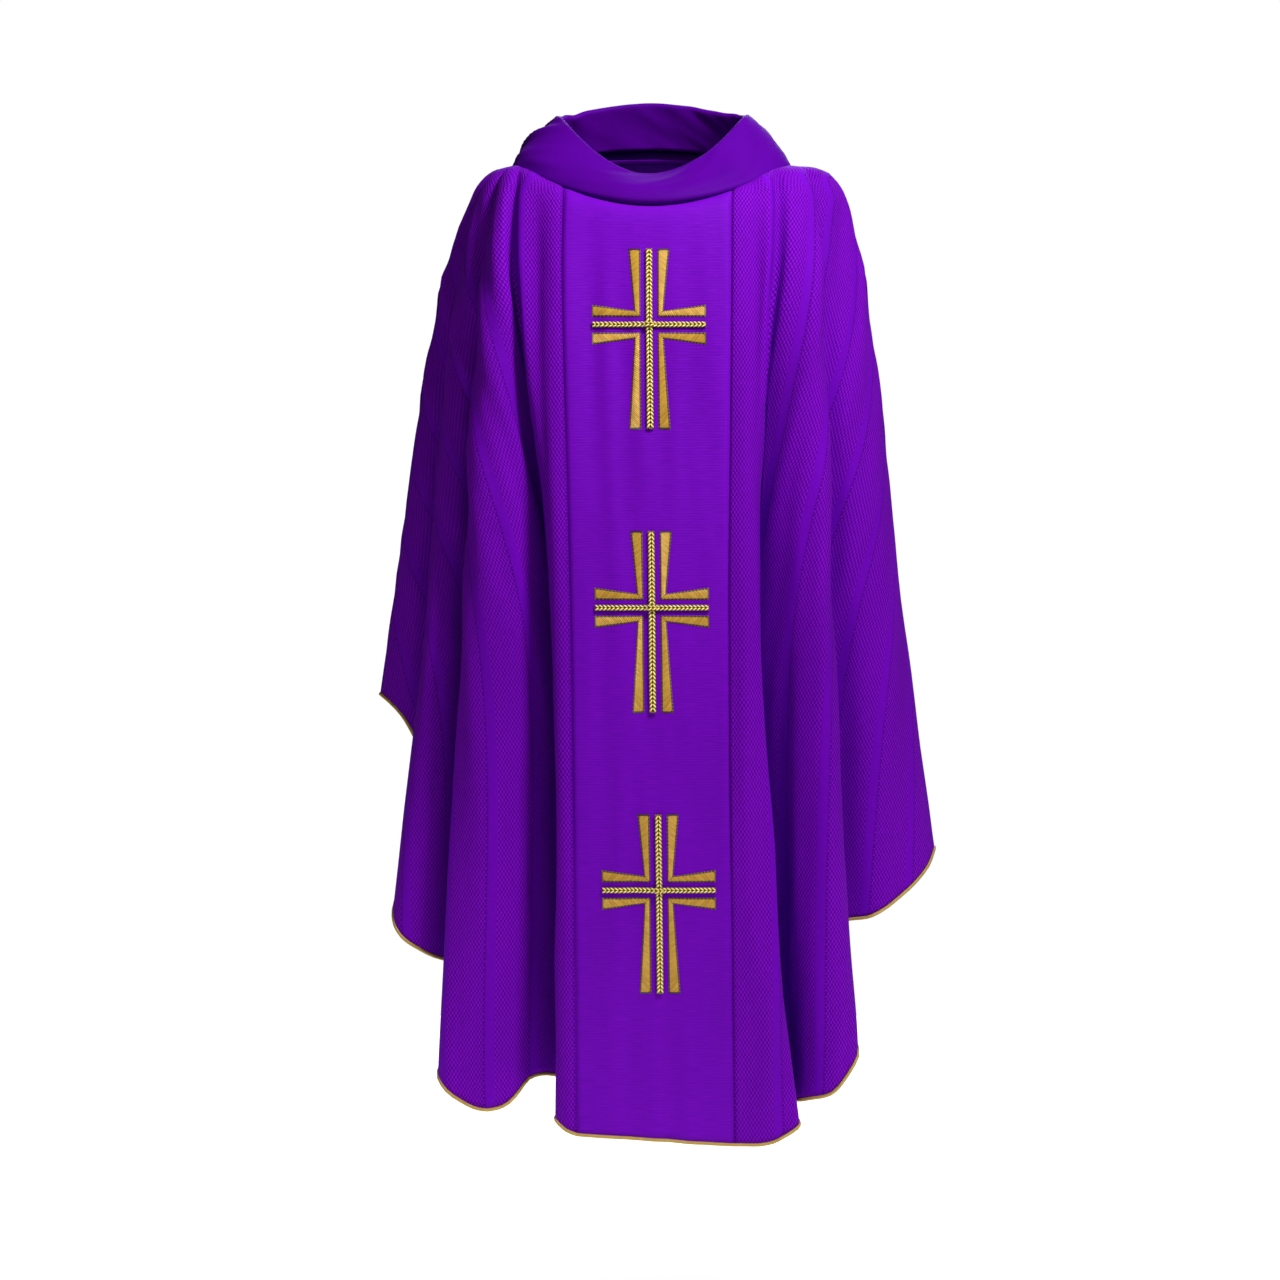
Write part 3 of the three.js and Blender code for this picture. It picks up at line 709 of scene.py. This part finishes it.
def collar_frame(turn):
    """The seam, the rolled edge, and the ways up the wall and in through it, at an angle."""
    facing = FRONT if math.cos(turn) > 0 else BACK
    angle = math.atan2(math.sin(turn), abs(math.cos(turn)))
    seam = neck_point(angle, facing)
    depth = COLLAR_FRONT if facing == FRONT else COLLAR_BACK
    rise = -COLLAR_DIP if facing == FRONT else COLLAR_RISE
    edge = np.array([
        COLLAR_WIDTH / 2 * math.sin(angle),
        facing * depth * math.cos(angle),
        COLLAR_HEIGHT + rise * math.cos(angle) ** 2,
    ])
    up = unit(edge - seam)
    level = up * (1, 1, 0)
    inward = unit(level) * up[2] - (0, 0, np.linalg.norm(level))
    return seam, edge, up, inward


# The collar's outside from its rolled edge to the seam: share of the way down, and how far it
# swells in millimetres. It hangs over the seam a little before it turns in.
COLLAR_PROFILE = np.array(
    [(0, 0), (0.22, 5.5), (0.5, 11.5), (0.8, 15), (1.02, 13), (1.09, 7), (1.05, 2), (1, 0)]
)


def collar_column(turn):
    """From the inner wall's hem, over the roll and down the outer wall to the seam."""
    seam, edge, up, inward = collar_frame(turn)
    inner = [
        edge + (seam - edge) * share + inward * (2 * COLLAR_ROLL - collar_drag(turn, share))
        for share in np.linspace(COLLAR_TUCK, 0, INNER_ROWS)
    ]
    rolled = edge - inward * collar_drag(turn, 0)
    over = [
        rolled + COLLAR_ROLL * (inward * (1 + math.cos(angle)) + up * math.sin(angle))
        for angle in np.linspace(0, math.pi, ROLL_STEPS + 1)[1:-1]
    ]
    fullness = 0.44 + 0.56 * max(math.cos(turn), 0)  # of the swell: all of it in front
    profile = spline(COLLAR_PROFILE, np.linspace(0, len(COLLAR_PROFILE) - 1, OUTER_ROWS))
    outer = [
        edge + (seam - edge) * share - inward * (swell * fullness + collar_drag(turn, share))
        for share, swell in profile
    ]
    return np.array(inner + over + outer)


def near_turn(turn, center, spread):
    """1 at a place round the neck, fading away from it; both sides of a full turn are near."""
    away = (turn - center + math.pi) % (2 * math.pi) - math.pi
    return math.exp(-((away / spread) ** 2))


def ring_noise(turn, share, around, down, shift):
    """Noise that joins up round the neck, with more features for a larger around and down."""
    place = (math.cos(turn) * around, math.sin(turn) * around, share * down + shift)
    return noise.noise(Vector(place))


def collar_drag(turn, share):
    """How far the folds dragged in the band push it out, share of the way down from its edge.

    They are bunched behind each shoulder, most at the wearer's right.
    """
    bunched = near_turn(turn, -1.75, 0.5) + 0.7 * near_turn(turn, 1.8, 0.4)
    slant = turn + 0.8 * (share - 0.5)
    drag = ring_noise(slant, share, 4.5, 1.2, 6)
    soft = ring_noise(turn, share, 1.3, 0.8, 2)
    off_seam = min(max((1 - share) / 0.15, 0), 1)
    return (3 * soft + drag * (2 + 9 * bunched)) * off_seam


def build_collar(name, turns, material):
    cloth = np.array([collar_column(turn) for turn in turns]).transpose(1, 0, 2) * MM
    along = run_along(cloth)
    across = np.broadcast_to(run_along(cloth[-1]), along.shape)
    return add_cloth(name, cloth, across, along, material)


def build_interfacing(name, turns, material):
    """The strip of stiffening between the collar's walls."""
    columns = []
    for turn in turns:
        seam, edge, _, inward = collar_frame(turn)
        columns.append([
            edge + (seam - edge) * share + inward * (COLLAR_ROLL - collar_drag(turn, share))
            for share in np.linspace(INTERFACING_TOP, INTERFACING_FOOT, INTERFACING_ROWS)
        ])
    cloth = np.array(columns).transpose(1, 0, 2) * MM
    row, column = np.indices(cloth.shape[:2])
    across, along = column * CANVAS_ACROSS, row * CANVAS_DOWN
    return add_cloth(name, cloth, across, along, material, INTERFACING)


# ---------------------------------------------------------------------------------------------
# Cords, piping and crosses.

CORD_SIDES, PIPING_SIDES = 8, 12
PIPING_OVERLAP = 0.4  # how far the piping reaches up over the cloth's edge, in millimetres
UPRIGHT_STEPS = 60  # along an applique's upright arm
ACROSS_PLACES = np.linspace(1, 2, 41)  # along its crosswise arm, from its corner at 1
END_ROUNDING = 1.2 * MM  # length over which the end of a cord or an applique rounds off

# Across a satin-stitched arm: share of its width, and height over the cloth in millimetres.
STITCH_PROFILE = np.array([
    (0, 0), (0, 0.25), (0.04, 0.6), (0.12, 0.95), (0.3, 1.25), (0.5, 1.35),
    (0.7, 1.25), (0.88, 0.95), (0.96, 0.6), (1, 0.25), (1, 0),
])


def tube(path, radius, sides, upward):
    """A round tube along a path, closed at both ends; upward is a direction across the path."""
    tangent = unit(np.gradient(path, axis=0))
    sideways = unit(np.cross(tangent, upward))
    upright = np.cross(sideways, tangent)
    angles = np.linspace(0, 2 * math.pi, sides, endpoint=False)
    cosines, sines = np.cos(angles)[:, None], np.sin(angles)[:, None]
    ring = cosines * sideways[:, None] + sines * upright[:, None]
    radius = np.broadcast_to(radius, len(path))
    vertices = (path[:, None] + ring * radius[:, None, None]).reshape(-1, 3)
    faces = [tuple(face) for face in grid_faces(len(path), sides, closed=True)]
    last = len(path) * sides
    faces += [tuple(range(sides)), tuple(range(last - 1, last - sides - 1, -1))]
    along = np.repeat(run_along(path)[:, None], sides, axis=1)
    around = np.broadcast_to(angles * radius[:, None], along.shape)
    return vertices, faces, with_third(along, around).reshape(-1, 3)


def join(parts):
    """One list of vertices, faces and weave from several."""
    vertices, faces, weaves, count = [], [], [], 0
    for points, polygons, weave in parts:
        vertices.append(points)
        weaves.append(weave)
        faces += [tuple(i + count for i in polygon) for polygon in polygons]
        count += len(points)
    return np.concatenate(vertices), faces, np.concatenate(weaves)


def cord_pair(length, width, lift):
    """Two cords side by side along X, each of two plies; they are twisted opposite ways.

    The third value of the weave is the height, from 0 on the cloth to 1 on top.
    """
    apart = 0.85  # of a cord's radius, from the middle to each cord
    cord_radius = width / 2 / (1 + apart)
    ply_radius = cord_radius / 2
    twist = 10 * MM
    step = 0.5 * MM
    x = np.linspace(-length / 2, length / 2, int(length / step))
    from_end = np.minimum(x + length / 2, length / 2 - x)
    taper = np.sqrt(np.clip(from_end / END_ROUNDING, 0.15, 1))
    parts = []
    for cord in (-1, 1):
        for ply in (0, math.pi):
            angle = 2 * math.pi * x / twist + ply
            y = cord * (apart * cord_radius + (cord_radius - ply_radius) * np.cos(angle))
            z = cord_radius + (cord_radius - ply_radius) * np.sin(angle) + lift(x)
            path = np.stack([x, y, z], axis=-1)
            points, faces, weave = tube(path, ply_radius * taper, CORD_SIDES, (0, 0, 1))
            # This height sets the cord's painted shade in its grooves.
            weave[:, 2] = (points[:, 2] - lift(points[:, 0])) / (2 * cord_radius)
            parts.append((points, faces, weave))
    return join(parts)


def lay_on(cloth, flat):
    """Moves points drawn flat, across and up from the shoulders and raised, onto a panel."""
    across, height, raised = flat.T
    columns = cloth.shape[1]
    widths = np.linalg.norm(cloth[:, -1] - cloth[:, 0], axis=1)
    width = np.interp(-height, -cloth[:, columns // 2, 2], widths)
    column = (columns - 1) * (0.5 + across / width)
    before = np.clip(column.astype(int), 0, columns - 2)
    share = (column - before)[:, None]
    normals = normals_of(cloth)

    def at_column(values, index):
        """The values in a column at each point's height."""
        found = np.empty((len(flat), 3))
        for one in np.unique(index):
            here = index == one
            for axis in range(3):
                found[here, axis] = np.interp(-height[here], -cloth[:, one, 2], values[:, one, axis])
        return found

    place = at_column(cloth, before) * (1 - share) + at_column(cloth, before + 1) * share
    normal = at_column(normals, before) * (1 - share) + at_column(normals, before + 1) * share
    return place + normal * (raised + CLOTH / 2)[:, None]


def applique_outline(arm):
    """Inner and outer edges of an L, from the end of its upright arm round to the other end."""
    x = UPRIGHT_CORD / 2 + CORD_MARGIN
    y = CROSSWISE_CORD / 2 + CORD_MARGIN
    end = CROSS_WIDTH / 2
    inner = np.array([(x, arm), (x, y), (end, y)])
    outer = np.array([(x + ARM_END, arm), (x + ARM_ROOT, y + ARM_ROOT), (end, y + ARM_END)])
    return inner * MM, outer * MM


def build_applique(name, cloth, crossing, shift, corner, material):
    side, up = corner
    places = np.concatenate([np.linspace(0, 1, UPRIGHT_STEPS, endpoint=False), ACROSS_PLACES])
    inner, outer = (
        np.stack([np.interp(places, (0, 1, 2), edge[:, axis]) for axis in (0, 1)], axis=-1)
        for edge in applique_outline(CROSS_ABOVE if up > 0 else CROSS_BELOW)
    )
    shares, heights = STITCH_PROFILE.T
    flat = inner[:, None] + (outer - inner)[:, None] * shares[:, None]
    along = np.repeat(run_along((inner + outer) / 2)[:, None], len(shares), axis=1)
    from_end = np.minimum(along, along[-1:] - along)
    raised = heights * MM * np.sqrt(np.clip(from_end / END_ROUNDING, 0.1, 1))
    x = side * flat[..., 0] + shift * MM
    y = up * flat[..., 1] + crossing
    points = lay_on(cloth, np.stack([x, y, raised], axis=-1).reshape(-1, 3))
    rows, columns = x.shape
    faces = [tuple(face) for face in grid_faces(rows, columns, closed=True)]
    faces += [tuple(range(columns))[::-1], tuple(range(x.size - columns, x.size))]
    if side * up > 0:
        faces = [face[::-1] for face in faces]
    width = np.linalg.norm(outer - inner, axis=1)[:, None]
    across = width * shares
    inside = np.minimum(np.minimum(across, width - across), from_end)
    weave = np.stack([along - along[UPRIGHT_STEPS], across, inside], axis=-1)
    return add_piece(name, points, faces, weave, material)


def no_lift(x):
    return np.zeros_like(x)


def over_upright(x):
    """How high the crosswise cords ride to cross the upright ones."""
    foot, top = 9 * MM, 4 * MM  # of the climb, from the middle of the cross
    climb = np.clip((foot - np.abs(x)) / (foot - top), 0, 1)
    return climb * climb * (3 - 2 * climb) * 0.45 * UPRIGHT_CORD * MM


def build_cross(title, cloth, number, materials):
    """The four appliques and two pairs of cords of one cross, counted from the top."""
    stitched, cord = materials
    crossing = -(FIRST_CROSS + number * CROSS_PITCH) * MM
    shift = CROSS_SHIFTS[number]
    pieces = []
    for level, up in (("upper", 1), ("lower", -1)):
        for hand, side in (("left", -1), ("right", 1)):
            name = f"{title}_applique_{level}_{hand}"
            pieces.append(build_applique(name, cloth, crossing, shift, (side, up), stitched))
    upright, faces, weave = cord_pair((CROSS_ABOVE + CROSS_BELOW) * MM, UPRIGHT_CORD * MM, no_lift)
    middle = crossing + (CROSS_ABOVE - CROSS_BELOW) / 2 * MM
    run, across, raised = upright.T
    flat = np.stack([shift * MM - across, middle + run, raised], axis=-1)
    name = f"{title}_upright_cord"
    pieces.append(add_piece(name, lay_on(cloth, flat), faces, weave, cord))
    crosswise, faces, weave = cord_pair(CROSS_WIDTH * MM, CROSSWISE_CORD * MM, over_upright)
    flat = crosswise + np.array([shift * MM, crossing, 0])
    name = f"{title}_crosswise_cord"
    pieces.append(add_piece(name, lay_on(cloth, flat), faces, weave, cord))
    return pieces


def build_piping(name, grids, material):
    """A covered cord sewn under the hem of the pieces of cloth in grids, in order."""
    hems = [grid[-1] for grid in grids]
    path = np.concatenate([hems[0], *[hem[1:] for hem in hems[1:]]])
    outs = [normals_of(grid)[-1] for grid in grids]
    normal = np.concatenate([outs[0], *[out[1:] for out in outs[1:]]])
    downward = unit(np.cross(unit(np.gradient(path, axis=0)), normal))
    route = path + downward * (PIPING / 2 - PIPING_OVERLAP) * MM
    vertices, faces, weave = tube(route, PIPING / 2 * MM, PIPING_SIDES, downward)
    return add_piece(name, vertices, faces, weave, material)


# ---------------------------------------------------------------------------------------------
# The whole vestment.

make_camera()
make_studio()

jacquard = jacquard_material()
ribbed = ribbed_material()
satin = satin_material()
stiff = interfacing_material()
stitched = stitched_material()
cord_gold = cord_material()
piping_gold = piping_material()

front_panel, front_cloth = build_panel("front_center_panel", FRONT, ribbed)
back_panel, back_cloth = build_panel("back_center_panel", BACK, ribbed)
left_names = ("front_left_panel", "back_left_panel")
right_names = ("front_right_panel", "back_right_panel")
(front_left, front_left_cloth), (back_left, back_left_cloth) = build_side(
    LEFT_FOLDS, LEFT, left_names, jacquard
)
(front_right, front_right_cloth), (back_right, back_right_cloth) = build_side(
    RIGHT_FOLDS, RIGHT, right_names, jacquard
)

quarter = math.pi / 2
front_turns = np.linspace(-quarter, quarter, COLLAR_COLUMNS + 1)
back_turns = np.linspace(quarter, 3 * quarter, COLLAR_COLUMNS + 1)
for face, turns in (("front", front_turns), ("back", back_turns)):
    build_collar(f"collar_{face}", turns, satin)
    build_interfacing(f"collar_interfacing_{face}", turns, stiff)

piping_front = build_piping(
    "hem_piping_front", [front_right_cloth, front_cloth, front_left_cloth], piping_gold
)
piping_back = build_piping(
    "hem_piping_back", [back_left_cloth, back_cloth, back_right_cloth], piping_gold
)

crosses = {"front": [], "back": []}
for face, cloth in (("front", front_cloth), ("back", back_cloth)):
    for number in range(3):
        title = f"{face}_cross_{number + 1}"
        crosses[face] += build_cross(title, cloth, number, (stitched, cord_gold))
